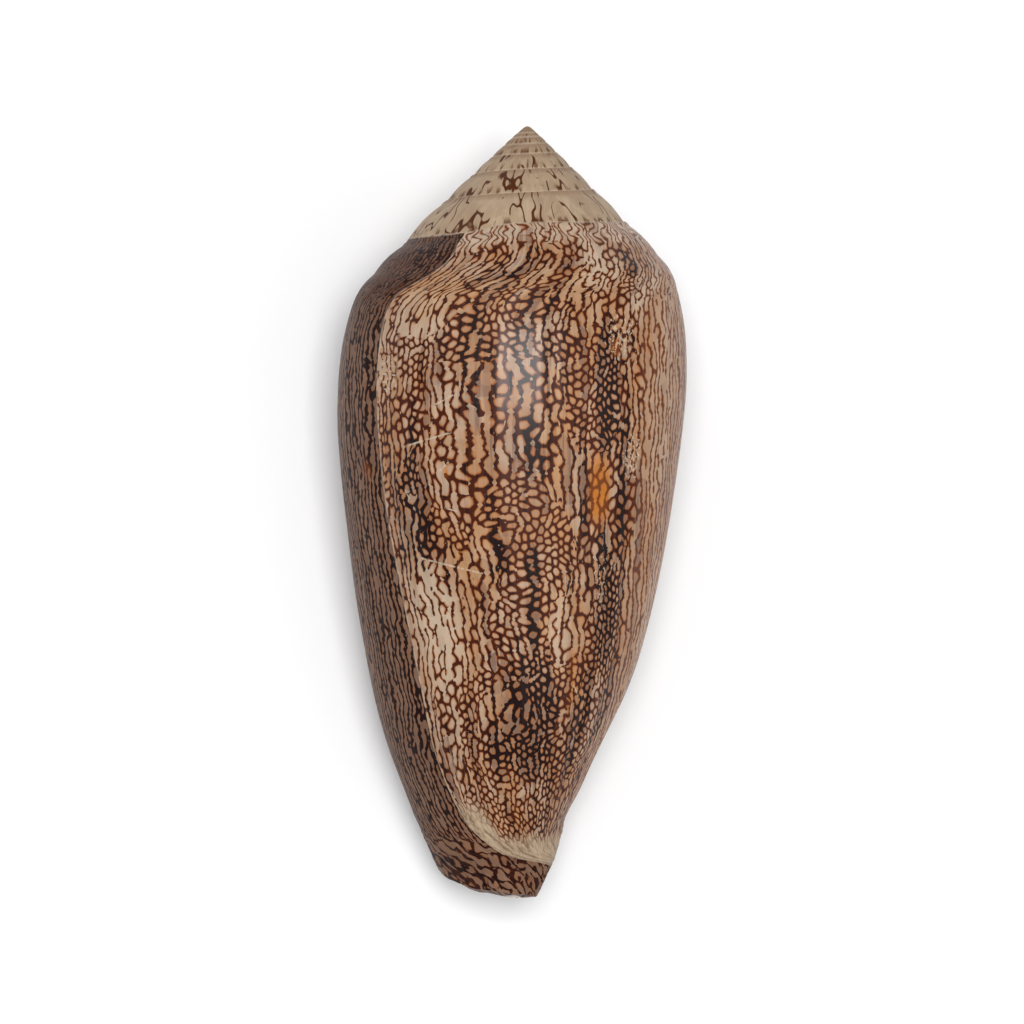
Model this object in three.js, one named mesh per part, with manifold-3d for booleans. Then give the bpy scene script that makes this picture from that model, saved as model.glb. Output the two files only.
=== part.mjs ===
import * as THREE from 'three';
import { mergeVertices } from 'three/addons/utils/BufferGeometryUtils.js';
import Module from 'manifold-3d';

// A cone shell, in millimetres. It is first grown around its own axis: the height is measured down
// from the apex, the radius out from the axis, and the growth angle is 0 in the middle of the back
// and rises to the left, the way that the shell grew. Then the shell is laid down on its mouth.

const degrees = Math.PI / 180;
const fullTurn = 2 * Math.PI;

// Whole shell
const shellLength = 80;
const lipAngle = 112 * degrees;
const columnsPerTurn = 56;
const wholeTurns = 5.5;

// Spiral of the shoulder edge: its radius at the left outline, and how fast it grows per half turn
const shoulderRadius = 16.1;
const lateGrowth = 0.136;
const earlyGrowth = 0.205;
const slowingPoint = -2.2;
const slowingSharpness = 2;

// Spire: a cone with a blunt tip, and how far the top of each whorl bulges from it
const spireSlope = 1;
const tipRadius = 0.32;
const whorlBulge = 0.018;
const topRows = [0, 0.3, 0.7];

// Healed break in the lip: a jog in the last suture, and a top that grew on a little lower
const sutureJog = 0.42;
const sutureJogAngle = 20 * degrees;
const sutureJogLength = 9 * degrees;
const sutureJogFade = 7;
const sagDepth = 0.4;
const sagStart = 25 * degrees;
const sagLength = 35 * degrees;
const sagFrom = 16;
const sagFade = 7;

// Outline of the last whorl at the left outline: radius and height, from the apex to the base
const outline = [
  [0.32, 0], [8.32, 8], [15.2, 14.8], [16.45, 15.9], [17.25, 17], [17.75, 18.2], [18.3, 20.3],
  [18.85, 23], [19.2, 26.5], [19.2, 32], [18.2, 41.5], [16.6, 52], [14.25, 62.3], [11.1, 70.6],
  [8.15, 77], [6, 81], [5.5, 83.3], [4.4, 86.6], [1.6, 90.8], [0, 92.5],
];
// The base grows faster than the rest, from one height of that outline to another
const baseGrowth = 0.3;
const baseStart = 66;
const baseEnd = 75;

// Rows of the last whorl below the shoulder edge, as shares of the way to the base
const bodyRows = [
  0, 0.012, 0.03, 0.055, 0.09, 0.14, 0.21, 0.3, 0.4, 0.5, 0.6, 0.69, 0.77, 0.84, 0.9, 0.95, 1,
];
const bodyBottom = 86;
const bodyPole = 90;

// Columella and base
const columellaRadius = 1.45;
const columellaBlend = 0.5;
const baseDomeRadius = 14.4;
const domeReach = 60 * degrees;
const domeSteps = 6;

// Outer lip: how far it stands forward of the suture, as shares of the length and of the sweep
const lipSweep = 20 * degrees;
const lipSweepLength = 90 * degrees;
const lipShape = [[0.16, 0], [0.3, 1], [0.8, 0.45], [0.98, -0.15]];
const lipTaperLength = 35 * degrees;
const wallThickness = 1.25;
const lipThickness = 0.75;

// Hollow inside the last whorls: it begins above the shoulder edge and runs out past lip and base.
// Its rows stand closer together near the top, by the share of their spacing that is even.
const hollowTurns = 1.5;
const hollowRows = 12;
const hollowEvenShare = 0.45;
const hollowClearance = 0.1;
const hollowEdgeGap = 0.3;
const hollowBottom = 88;
const hollowReach = 8 * degrees;
const hollowSearchSteps = 24;
const slopeProbe = 0.2;

// Lying on the mouth: the turn about the shell's axis and the lift of the spire
const restRoll = -7.58 * degrees;
const restTilt = 6.73 * degrees;

const columnStep = fullTurn / columnsPerTurn;
const mergeDistance = 0.001;

function smoothStep(value) {
  const t = Math.min(Math.max(value, 0), 1);
  return t * t * (3 - 2 * t);
}

// Scale of the whorl at a growth angle: 1 at the left outline
function growthScale(angle) {
  const halfTurns = angle / Math.PI - 0.5;
  const lag = Math.log(1 + Math.exp(slowingSharpness * (slowingPoint - halfTurns))) / slowingSharpness;
  return Math.exp(lateGrowth * halfTurns - (earlyGrowth - lateGrowth) * lag);
}

function shoulderEdge(angle) {
  return shoulderRadius * growthScale(angle);
}

// Radius of the suture at a growth angle, with the jog where the broken lip healed
function sutureRadius(angle) {
  const fromScar = (angle - sutureJogAngle) / sutureJogLength;
  const jog = sutureJog * Math.tanh(fromScar) * Math.exp(-((fromScar / sutureJogFade) ** 2));
  return shoulderEdge(angle - fullTurn) + jog;
}

// How much lower the top of the whorl grew after that break
function topSag(angle, height) {
  const level = height / growthScale(angle);
  const grown = smoothStep((angle - sagStart) / sagLength);
  return sagDepth * grown * (1 - smoothStep((level - sagFrom) / sagFade));
}

// Height at which the spire's cone has a radius
function spireHeight(radius) {
  return (radius - tipRadius) / spireSlope;
}

// Radius of the outline at a height, on a smooth curve through its points
function outlineRadius(height) {
  const last = outline.length - 1;
  if (height >= outline[last][1]) {
    return 0;
  }
  let i = 0;
  while (height > outline[i + 1][1]) {
    i += 1;
  }
  const slopeAt = (k) => {
    const before = outline[Math.max(k - 1, 0)];
    const after = outline[Math.min(k + 1, last)];
    return (after[0] - before[0]) / (after[1] - before[1]);
  };
  const span = outline[i + 1][1] - outline[i][1];
  const t = (height - outline[i][1]) / span;
  const ends = outline[i][0] * (1 + 2 * t) * (1 - t) ** 2 + outline[i + 1][0] * t * t * (3 - 2 * t);
  const bends = slopeAt(i) * t * (1 - t) ** 2 - slopeAt(i + 1) * t * t * (1 - t);
  return ends + span * bends;
}

// Radius of the outside at a growth angle and height, with the columella blended in
function outerRadius(angle, height) {
  const scale = growthScale(angle);
  const level = (height - topSag(angle, height)) / scale;
  const nearBase = smoothStep((level - baseStart) / (baseEnd - baseStart));
  const body = scale ** (1 + baseGrowth * nearBase) * outlineRadius(level);
  return (body + columellaRadius + Math.hypot(body - columellaRadius, columellaBlend)) / 2;
}

// Angle by which the lip stands forward of the suture at a height
function lipForward(height) {
  let forward = lipShape[0][1];
  for (let i = 1; i < lipShape.length; i += 1) {
    const [above, before] = lipShape[i - 1];
    const [below, after] = lipShape[i];
    forward += (after - before) * smoothStep((height / shellLength - above) / (below - above));
  }
  return lipSweep * forward;
}

// Share of the lip's forward sweep that a growth line has: none far behind the lip, all at the lip
function lipShare(angle) {
  return smoothStep(1 - (lipAngle - angle) / lipSweepLength);
}

// A point of the shell from its angle, radius and height
function shellPoint(angle, radius, height) {
  return new THREE.Vector3(-radius * Math.sin(angle), -height, radius * Math.cos(angle));
}

// A closed solid for cutting and joining, from points and triangles
function solidFrom(wasm, points, triangles) {
  const vertProperties = new Float32Array(points.flatMap((point) => point.toArray()));
  const triVerts = new Uint32Array(triangles.flat());
  return new wasm.Manifold(new wasm.Mesh({ numProp: 3, vertProperties, triVerts }));
}

// Two triangles for each cell between two neighbouring lines of points
function stitch(triangles, line, nextLine) {
  for (let i = 0; i + 1 < line.length; i += 1) {
    triangles.push([line[i], nextLine[i], line[i + 1]]);
    triangles.push([nextLine[i], nextLine[i + 1], line[i + 1]]);
  }
}

// The outside of all whorls, closed across the mouth and run on past the base
function growOutside(wasm) {
  const columns = wholeTurns * columnsPerTurn;
  const lastTurn = columns - columnsPerTurn;
  const points = [];
  const lines = [];
  for (let k = 0; k <= columns; k += 1) {
    const angle = lipAngle - (columns - k) * columnStep;
    const suture = sutureRadius(angle);
    const edge = k < lastTurn ? sutureRadius(angle + fullTurn) : shoulderEdge(angle);
    const sweep = lipShare(angle);
    const line = [];
    for (const share of topRows) {
      const radius = suture + (edge - suture) * share;
      const bulge = whorlBulge * edge * Math.sin(Math.PI * share);
      const sag = share > 0 ? topSag(angle, spireHeight(radius)) : 0;
      const height = spireHeight(radius) + sag - bulge;
      const turned = angle + sweep * lipForward(height);
      line.push(points.push(shellPoint(turned, radius + bulge, height)) - 1);
    }
    if (k >= lastTurn) {
      const top = spireHeight(edge) + topSag(angle, spireHeight(edge));
      for (const share of bodyRows) {
        const height = top + (bodyBottom - top) * share;
        const turned = angle + sweep * lipForward(height);
        line.push(points.push(shellPoint(turned, outerRadius(turned, height), height)) - 1);
      }
    }
    lines.push(line);
  }
  const atSuture = topRows.length;
  lines[columns][0] = lines[lastTurn][atSuture];
  for (let k = 0; k < lastTurn; k += 1) {
    lines[k].push(lines[k + columnsPerTurn][0]);
  }
  const apex = points.push(shellPoint(0, 0, 0)) - 1;
  const pole = points.push(shellPoint(0, 0, bodyPole)) - 1;
  const triangles = [];
  for (let k = 0; k < columns; k += 1) {
    const rows = k < lastTurn ? atSuture + 1 : lines[k].length;
    stitch(triangles, lines[k].slice(0, rows), lines[k + 1].slice(0, rows));
    if (k < columnsPerTurn) {
      triangles.push([apex, lines[k + 1][0], lines[k][0]]);
    }
    if (k >= lastTurn) {
      triangles.push([lines[k].at(-1), lines[k + 1].at(-1), pole]);
    }
  }
  for (let row = 0; row < atSuture; row += 1) {
    triangles.push([apex, lines[0][row], lines[0][row + 1]]);
  }
  const lip = lines[columns];
  const inner = lines[lastTurn].slice(atSuture);
  for (let row = 1; row < atSuture; row += 1) {
    triangles.push([lip[row + 1], lip[row], inner[0]]);
  }
  stitch(triangles, lip.slice(atSuture), inner);
  triangles.push([lip.at(-1), inner.at(-1), pole]);
  return solidFrom(wasm, points, triangles);
}

// Thickness of the wall at a growth angle: thinnest at the lip, and thinner again in early whorls
function wallAt(angle) {
  const behindLip = smoothStep((lipAngle - angle) / lipTaperLength);
  return (lipThickness + (wallThickness - lipThickness) * behindLip) * Math.min(growthScale(angle), 1);
}

// Outer and inner radius of the hollow at a growth angle and height
function hollowRadii(angle, height) {
  const radius = outerRadius(angle, height);
  const rise = outerRadius(angle, height + slopeProbe) - outerRadius(angle, height - slopeProbe);
  const slope = rise / (2 * slopeProbe);
  return {
    outer: radius - wallAt(angle) * Math.hypot(1, slope),
    inner: outerRadius(angle - fullTurn, height) + hollowClearance,
  };
}

// Height between two heights at which the hollow is just wide enough to begin or to end
function hollowEnd(angle, closed, open) {
  let shut = closed;
  let wide = open;
  for (let step = 0; step < hollowSearchSteps; step += 1) {
    const middle = (shut + wide) / 2;
    const { outer, inner } = hollowRadii(angle, middle);
    if (outer - inner > hollowEdgeGap) {
      wide = middle;
    } else {
      shut = middle;
    }
  }
  return wide;
}

// The hollow of the last whorls, from deep inside to past the lip and the base
function growHollow(wasm) {
  const columns = Math.round(hollowTurns * columnsPerTurn);
  const points = [];
  const rings = [];
  for (let k = 0; k <= columns; k += 1) {
    const angle = lipAngle + hollowReach - (columns - k) * columnStep;
    const edge = spireHeight(shoulderEdge(angle));
    const top = hollowEnd(angle, edge / 2, edge * 1.5);
    const bottom = hollowEnd(angle, hollowBottom, edge * 3);
    const ring = [];
    const back = [];
    for (let row = 0; row <= hollowRows; row += 1) {
      const share = row / hollowRows;
      const spread = share * (hollowEvenShare + (1 - hollowEvenShare) * share);
      const height = top + (bottom - top) * spread;
      const turned = angle + lipShare(angle) * lipForward(height);
      const { outer, inner } = hollowRadii(turned, height);
      ring.push(points.push(shellPoint(turned, outer, height)) - 1);
      back.unshift(points.push(shellPoint(turned, inner, height)) - 1);
    }
    rings.push([...ring, ...back, ring[0]]);
  }
  const triangles = [];
  for (let k = 0; k < columns; k += 1) {
    stitch(triangles, rings[k], rings[k + 1]);
  }
  const half = hollowRows + 1;
  const innerFirst = (ring) => ring.slice(half, 2 * half).reverse();
  stitch(triangles, innerFirst(rings[0]), rings[0].slice(0, half));
  stitch(triangles, rings[columns].slice(0, half), innerFirst(rings[columns]));
  return solidFrom(wasm, points, triangles);
}

// All that lies above the domed base, which ends the last whorl and the columella
function baseDome(wasm) {
  const profile = [];
  for (let step = 0; step <= domeSteps; step += 1) {
    const turn = (domeReach * step) / domeSteps;
    const rise = baseDomeRadius * (1 - Math.cos(turn));
    profile.push(new THREE.Vector2(baseDomeRadius * Math.sin(turn), rise - shellLength));
  }
  const wide = shellLength / 2;
  for (const [radius, level] of [[wide, -wide], [wide, wide], [0, wide]]) {
    profile.push(new THREE.Vector2(radius, level));
  }
  const geometry = new THREE.LatheGeometry(profile, columnsPerTurn);
  geometry.deleteAttribute('normal');
  geometry.deleteAttribute('uv');
  const merged = mergeVertices(geometry, mergeDistance);
  const points = [];
  for (let i = 0; i < merged.attributes.position.count; i += 1) {
    points.push(new THREE.Vector3().fromBufferAttribute(merged.attributes.position, i));
  }
  const corners = [...merged.index.array];
  const triangles = [];
  for (let i = 0; i < corners.length; i += 3) {
    const triangle = corners.slice(i, i + 3);
    if (new Set(triangle).size === 3) {
      triangles.push(triangle);
    }
  }
  return solidFrom(wasm, points, triangles);
}

const wasm = await Module();
wasm.setup();
const outside = growOutside(wasm);
const dome = baseDome(wasm);
const hollow = growHollow(wasm);
const solid = outside.intersect(dome).subtract(hollow);

const mesh = solid.getMesh();
const geometry = new THREE.BufferGeometry();
geometry.setAttribute('position', new THREE.BufferAttribute(new Float32Array(mesh.vertProperties), 3));
geometry.setIndex(new THREE.BufferAttribute(new Uint32Array(mesh.triVerts), 1));
geometry.computeVertexNormals();

const shell = new THREE.Mesh(
  geometry,
  new THREE.MeshStandardMaterial({ color: 0xb58e6c, roughness: 0.35, metalness: 0 }),
);
shell.name = 'shell';

// Laid down, with the origin under the middle of its bounding box
const laidShell = new THREE.Group();
laidShell.rotation.set(restTilt, restRoll, 0);
laidShell.add(shell);
const part = new THREE.Group();
part.add(laidShell);
const bounds = new THREE.Box3().setFromObject(laidShell, true);
const middle = bounds.getCenter(new THREE.Vector3());
laidShell.position.set(-middle.x, -middle.y, -bounds.min.z);

export default part;
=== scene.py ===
import math
from types import SimpleNamespace

import bpy
from mathutils import Euler, Matrix, Vector


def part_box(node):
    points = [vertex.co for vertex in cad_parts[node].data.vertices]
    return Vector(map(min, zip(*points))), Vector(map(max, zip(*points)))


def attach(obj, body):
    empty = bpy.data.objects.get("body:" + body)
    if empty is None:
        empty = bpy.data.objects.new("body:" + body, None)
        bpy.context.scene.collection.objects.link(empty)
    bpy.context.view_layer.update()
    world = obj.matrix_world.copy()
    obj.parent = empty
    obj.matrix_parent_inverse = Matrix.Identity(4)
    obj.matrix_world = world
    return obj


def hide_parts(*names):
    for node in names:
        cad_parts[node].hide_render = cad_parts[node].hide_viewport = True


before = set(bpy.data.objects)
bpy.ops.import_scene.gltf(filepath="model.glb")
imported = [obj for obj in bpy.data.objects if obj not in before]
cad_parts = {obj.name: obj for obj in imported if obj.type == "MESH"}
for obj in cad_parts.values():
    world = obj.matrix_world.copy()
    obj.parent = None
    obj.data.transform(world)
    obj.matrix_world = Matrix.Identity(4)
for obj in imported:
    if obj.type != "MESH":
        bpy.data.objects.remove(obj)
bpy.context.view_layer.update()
print("frame loaded")

# The shell is grown in millimetres around its own axis: heights are measured down from the apex,
# and angles in degrees round to the left from the middle of the back.
millimetre = 0.001
lastWhorlMark = 100                 # added to the distance above the next suture on the last whorl

growth = {
    "length": 80,
    "lipAngle": 112,
    "wholeTurns": 6.5,
    "shoulderRadius": 16.1,         # at the left outline
    "lateGrowth": 0.136,            # for each half turn
    "earlyGrowth": 0.205,
    "slowingPoint": -2.2,
    "slowingSharpness": 2,
    "tipRadius": 0.32,
    "whorlBulge": 0.018,
    "columnStep": 1.7,              # degrees between growth lines of the mesh
    "fineStep": 0.45,               # the same beside the lip and the scar
    "fineReach": 3,
    "bodyRows": 120,
    "rowCrowding": 0.45,            # rows lie closer at the shoulder and the base
    "bodyBottom": 86,
    "bodyPole": 90,
    "topShares": [0, 0.03, 0.07, 0.14, 0.26, 0.42, 0.58, 0.74, 0.88],  # rows from suture to shoulder
    "tipRows": 5,
    "smoothAngle": 40,
    "mergeDistance": 0.0005,
}
# Heights and radii of the last whorl at the left outline, from the apex to the base
outline = [
    (0, 0.32), (8, 8.32), (14.8, 15.2), (15.9, 16.45), (17, 17.25), (18.2, 17.75), (20.3, 18.3),
    (23, 18.85), (26.5, 19.2), (32, 19.2), (41.5, 18.2), (52, 16.6), (62.3, 14.25), (70.6, 11.1),
    (77, 8.15), (81, 6), (83.3, 5.5), (86.6, 4.4), (90.8, 1.6), (92.5, 0),
]
# Heights, and how many degrees a growth line stands forward of the suture there
growthSweep = [
    (0, 0), (12.4, 0), (13.4, -0.5), (14.6, 1.5), (15.8, 6), (16.8, 12), (17.8, 18), (19.4, 21.4),
    (21.8, 22), (25.4, 22.2), (30.2, 21.6), (38.7, 20.3), (44.8, 18), (50.8, 15.4), (59, 13),
    (64, 13.5), (67, 12.5), (69.3, 10.4), (71.3, 7), (72.8, 2), (74.2, -8), (75.2, -20),
    (75.8, -45), (76.4, -85), (78, -110), (80, -120),
]
# The net leans less than that at the base
netSweep = growthSweep[:19] + [(73.2, 2), (75.2, -8), (80, -40)]
healedBreak = {
    "jog": 0.42, "jogAngle": 20, "jogLength": 9, "jogFade": 7,
    "sag": 0.4, "sagStart": 25, "sagLength": 35, "sagFrom": 16, "sagFade": 7,
    "line": 31,                     # its growth line
    "step": 0.16,                   # how far the newest growth starts below the old
    "stepWidth": 0.9,
    "stepFade": 14,
}
base = {
    "growth": 0.3, "start": 66, "end": 75,
    "columellaRadius": 1.45, "columellaBlend": 0.5,
    "domeRadius": 14.4, "domeReach": 60, "domeRows": 20, "domeColumns": 120,
    "ragged": 0.06, "raggedAcross": (3.1, 1.3), "raggedRound": (3, 7), "raggedSwing": 2, "raggedFine": 0.7,
    "netStart": 40,                 # keeps the cut face's net clear of the suture's pale thread
}
# How the net's map follows the growth lines and the width of the whorl
netLay = {"leanFrom": -40, "leanSpan": 50, "leastLean": 0.35, "leastRadius": 10, "cellRadius": 18}
lip = {
    "sweep": 20, "sweepLength": 60, "straightBelow": 71, "shareLength": 90,
    "shape": [(0.16, 0), (0.3, 1), (0.8, 0.45), (0.98, -0.15)],
    "taperLength": 35, "wall": 1.25, "edge": 0.75,
    "roundLength": 1.6, "roundDepth": 0.3,
}
hollow = {
    "turns": 1.5, "columns": 250, "rows": 46, "evenShare": 0.45, "clearance": 0.1,
    "edgeGap": 0.3, "bottom": 88, "reach": 8, "searchSteps": 24, "slopeProbe": 0.2,
    "topSearch": (0.5, 1.5), "bottomSearch": 3,     # in heights of the shoulder
}
relief = {
    "sutureCord": 0.1, "cordShares": (0.02, 0.1),   # fine raised edge along each suture
    "startRows": 6,
    "radian": 57.3,
    "waves": [(7.3, 0.3, 0.035), (13.1, 1.7, 0.03), (23.7, 4.1, 0.02)],  # degrees, phase, height
}
resting = {"roll": -7.58, "tilt": 6.73}


def smoothStep(value):
    t = min(max(value, 0), 1)
    return t * t * (3 - 2 * t)


# Value at a place on a smooth curve through points
def through(points, place):
    last = len(points) - 1
    if place <= points[0][0]:
        return points[0][1]
    if place >= points[last][0]:
        return points[last][1]
    i = 0
    while place > points[i + 1][0]:
        i += 1

    def slopeAt(k):
        before, after = points[max(k - 1, 0)], points[min(k + 1, last)]
        return (after[1] - before[1]) / (after[0] - before[0])

    span = points[i + 1][0] - points[i][0]
    t = (place - points[i][0]) / span
    ends = points[i][1] * (1 + 2 * t) * (1 - t) ** 2 + points[i + 1][1] * t * t * (3 - 2 * t)
    return ends + span * (slopeAt(i) * t * (1 - t) ** 2 - slopeAt(i + 1) * t * t * (1 - t))


def growthScale(angle):
    halfTurns = angle / 180 - 0.5
    sharpness = growth["slowingSharpness"]
    lag = math.log(1 + math.exp(sharpness * (growth["slowingPoint"] - halfTurns))) / sharpness
    early, late = growth["earlyGrowth"], growth["lateGrowth"]
    return math.exp(late * halfTurns - (early - late) * lag)


def shoulderEdge(angle):
    return growth["shoulderRadius"] * growthScale(angle)


def sutureRadius(angle):
    fromScar = (angle - healedBreak["jogAngle"]) / healedBreak["jogLength"]
    fade = math.exp(-((fromScar / healedBreak["jogFade"]) ** 2))
    return shoulderEdge(angle - 360) + healedBreak["jog"] * math.tanh(fromScar) * fade


def topSag(angle, height):
    level = height / growthScale(angle)
    grown = smoothStep((angle - healedBreak["sagStart"]) / healedBreak["sagLength"])
    gone = smoothStep((level - healedBreak["sagFrom"]) / healedBreak["sagFade"])
    return healedBreak["sag"] * grown * (1 - gone)


# The spire is a cone with a blunt tip
def spireHeight(radius):
    return math.hypot(radius, growth["tipRadius"]) - growth["tipRadius"]


def outerRadius(angle, height):
    scale = growthScale(angle)
    level = (height - topSag(angle, height)) / scale
    nearBase = smoothStep((level - base["start"]) / (base["end"] - base["start"]))
    body = scale ** (1 + base["growth"] * nearBase) * through(outline, level)
    gap = body - base["columellaRadius"]
    return (body + base["columellaRadius"] + math.hypot(gap, base["columellaBlend"])) / 2


def lipForward(height):
    shape = lip["shape"]
    forward = shape[0][1]
    for (above, before), (below, after) in zip(shape, shape[1:]):
        forward += (after - before) * smoothStep((height / growth["length"] - above) / (below - above))
    return lip["sweep"] * forward


# The same for a column of the mesh: it starts straight, follows the growth lines and ends as the lip
def columnForward(angle, height):
    sweepLength = lip["sweepLength"]
    started = smoothStep((angle - growth["lipAngle"] + 360) / sweepLength)
    nearLip = smoothStep(1 - (growth["lipAngle"] - angle) / sweepLength)
    forward = through(growthSweep, min(height, lip["straightBelow"]))
    return started * (forward * (1 - nearLip) + lipForward(height) * nearLip)


# Low relief of the outside: broad growth waves and the step of the healed break
def reliefAt(line):
    height = 0
    for pitch, phase, size in relief["waves"]:
        height += size * math.sin(line * 360 / pitch / relief["radian"] + phase)
    past = line - healedBreak["line"]
    fallen = smoothStep(past / healedBreak["stepWidth"]) * math.exp(-max(past, 0) / healedBreak["stepFade"])
    return height - healedBreak["step"] * fallen


def lipRounding(angle):
    t = min(max(1 - (growth["lipAngle"] - angle) / lip["roundLength"], 0), 1)
    return lip["roundDepth"] * (1 - math.sqrt(1 - t * t))


def shellPoint(angle, radius, height):
    turn = math.radians(angle)
    return (-radius * math.sin(turn), -height, radius * math.cos(turn))


# A sheet of faces through lines of points. Each point is its place and what the maps hold there:
# growth line and height, place across and along the net, turns and distance above the next suture.
def sheetFrom(name, lines):
    across, along = len(lines[0]) - 1, len(lines) - 1
    bpy.ops.mesh.primitive_grid_add(x_subdivisions=across, y_subdivisions=along, size=1)
    sheet = bpy.context.object
    sheet.name = name
    points = [point for line in lines for point in line]
    for vertex, point in zip(sheet.data.vertices, points):
        vertex.co = point[0]
    while sheet.data.uv_layers:
        sheet.data.uv_layers.remove(sheet.data.uv_layers[0])
    maps = [sheet.data.uv_layers.new(name=mapName) for mapName in ("growth", "net", "whorl")]
    corners = [loop.vertex_index for loop in sheet.data.loops]
    for k, layer in enumerate(maps):
        layer.data.foreach_set("uv", [number for corner in corners for number in points[corner][k + 1]])
    return sheet


def columnAngles():
    scarBehindLip = growth["lipAngle"] - healedBreak["line"]
    behind = [0]
    while behind[-1] < 360 - growth["columnStep"] / 2:
        here = behind[-1]
        fine = here < growth["fineReach"] or abs(here - scarBehindLip) < growth["fineReach"]
        behind.append(here + (growth["fineStep"] if fine else growth["columnStep"]))
    behind[-1] = 360
    turn = [-place for place in behind[:0:-1]]
    turns = math.ceil(growth["wholeTurns"])
    angles = [growth["lipAngle"] + place - 360 * k for k in range(turns - 1, -1, -1) for place in turn]
    angles.append(growth["lipAngle"])
    return angles[len(turn) // 2:], len(turn)


def topLine(angle, edge, inLastTurn):
    suture = sutureRadius(angle)
    line = []
    shares = growth["topShares"]
    cordStart, cordEnd = relief["cordShares"]
    for share in shares if inLastTurn else shares + [1]:
        radius = suture + (edge - suture) * share
        cord = relief["sutureCord"] * growthScale(angle) if cordStart < share < cordEnd else 0
        bulge = growth["whorlBulge"] * edge * math.sin(math.pi * share) + cord
        sag = topSag(angle, spireHeight(radius)) if share > 0 and inLastTurn else 0
        height = spireHeight(radius) + sag - bulge
        forward = columnForward(angle, height) if inLastTurn else 0
        line.append((angle + forward, radius + bulge, height))
    return line


def bodyLine(angle):
    edge = shoulderEdge(angle)
    top = spireHeight(edge) + topSag(angle, spireHeight(edge))
    line = []
    rows = growth["bodyRows"]
    for row in range(rows + 1):
        share = row / rows
        crowded = share - growth["rowCrowding"] * math.sin(2 * math.pi * share) / (2 * math.pi)
        height = top + (growth["bodyBottom"] - top) * crowded
        turned = angle + columnForward(angle, height)
        lift = reliefAt(turned - through(growthSweep, height)) * smoothStep(row / relief["startRows"])
        line.append((turned, outerRadius(turned, height) + lift - lipRounding(angle), height))
    line.append((angle, 0, growth["bodyPole"]))
    return line


# Gives the points of a line their places and maps. Cells get narrower where the whorl does; on the
# spire they keep one width across the band, counted along it from the first column.
def grown(line, arc=None, farBelow=0):
    places = [shellPoint(*point) for point in line]
    below = [0]
    for place, before in zip(places[1:], places):
        below.append(below[-1] + math.dist(place, before))
    points = []
    for place, (angle, radius, height), gone in zip(places, line, below):
        growthLine = angle - through(growthSweep, height)
        beside = smoothStep((growthLine - netLay["leanFrom"]) / netLay["leanSpan"])
        lean = netLay["leastLean"] + (1 - netLay["leastLean"]) * beside
        netLine = angle - through(netSweep, height) * lean
        wide = max(radius, netLay["leastRadius"])
        across = math.radians(netLine) * cellScale(wide) if arc is None else arc
        above = farBelow + below[-1] - gone
        points.append((place, (growthLine, height), (across, gone), (angle / 360, above)))
    return points


def cellScale(radius):
    return math.sqrt(netLay["cellRadius"] * radius)


# The outside of all whorls, closed across the mouth and run on past the base
def growOutside():
    angles, turn = columnAngles()
    last = len(angles) - 1
    lastTurn = last - turn
    spire, whorl = [], []
    arc = 0
    for k, angle in enumerate(angles):
        if k <= lastTurn:
            arc += math.radians(angle - angles[max(k - 1, 0)]) * cellScale(shoulderEdge(angle))
            spire.append(grown(topLine(angle, sutureRadius(angle + 360), False), arc))
        if k >= lastTurn:
            line = topLine(angle, shoulderEdge(angle), True) + bodyLine(angle)
            whorl.append(grown(line, None, lastWhorlMark))
    tip = []
    for k in range(turn + 1):
        line = []
        for row in range(growth["tipRows"] + 1):
            radius = sutureRadius(angles[k]) * row / growth["tipRows"]
            line.append((angles[k], radius, spireHeight(radius)))
        tip.append(grown(line, 0))
    band = len(spire[0]) - 1
    inner = [whorl[0][band]] * band + whorl[0][band:]
    sheets = [
        sheetFrom("tip", tip),
        sheetFrom("spire", spire),
        sheetFrom("whorl", whorl),
        sheetFrom("mouth", [whorl[-1], inner]),
    ]
    return closedFrom(sheets, "cone_shell")


def wallAt(angle):
    behindLip = smoothStep((growth["lipAngle"] - angle) / lip["taperLength"])
    return (lip["edge"] + (lip["wall"] - lip["edge"]) * behindLip) * min(growthScale(angle), 1)


def hollowRadii(angle, height):
    probe = hollow["slopeProbe"]
    slope = (outerRadius(angle, height + probe) - outerRadius(angle, height - probe)) / (2 * probe)
    outer = outerRadius(angle, height) - wallAt(angle) * math.hypot(1, slope)
    return outer, outerRadius(angle - 360, height) + hollow["clearance"]


def hollowEnd(angle, shut, wide):
    for attempt in range(hollow["searchSteps"]):
        middle = (shut + wide) / 2
        outer, inner = hollowRadii(angle, middle)
        if outer - inner > hollow["edgeGap"]:
            wide = middle
        else:
            shut = middle
    return wide


def lipShare(angle):
    return smoothStep(1 - (growth["lipAngle"] - angle) / lip["shareLength"])


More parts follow.
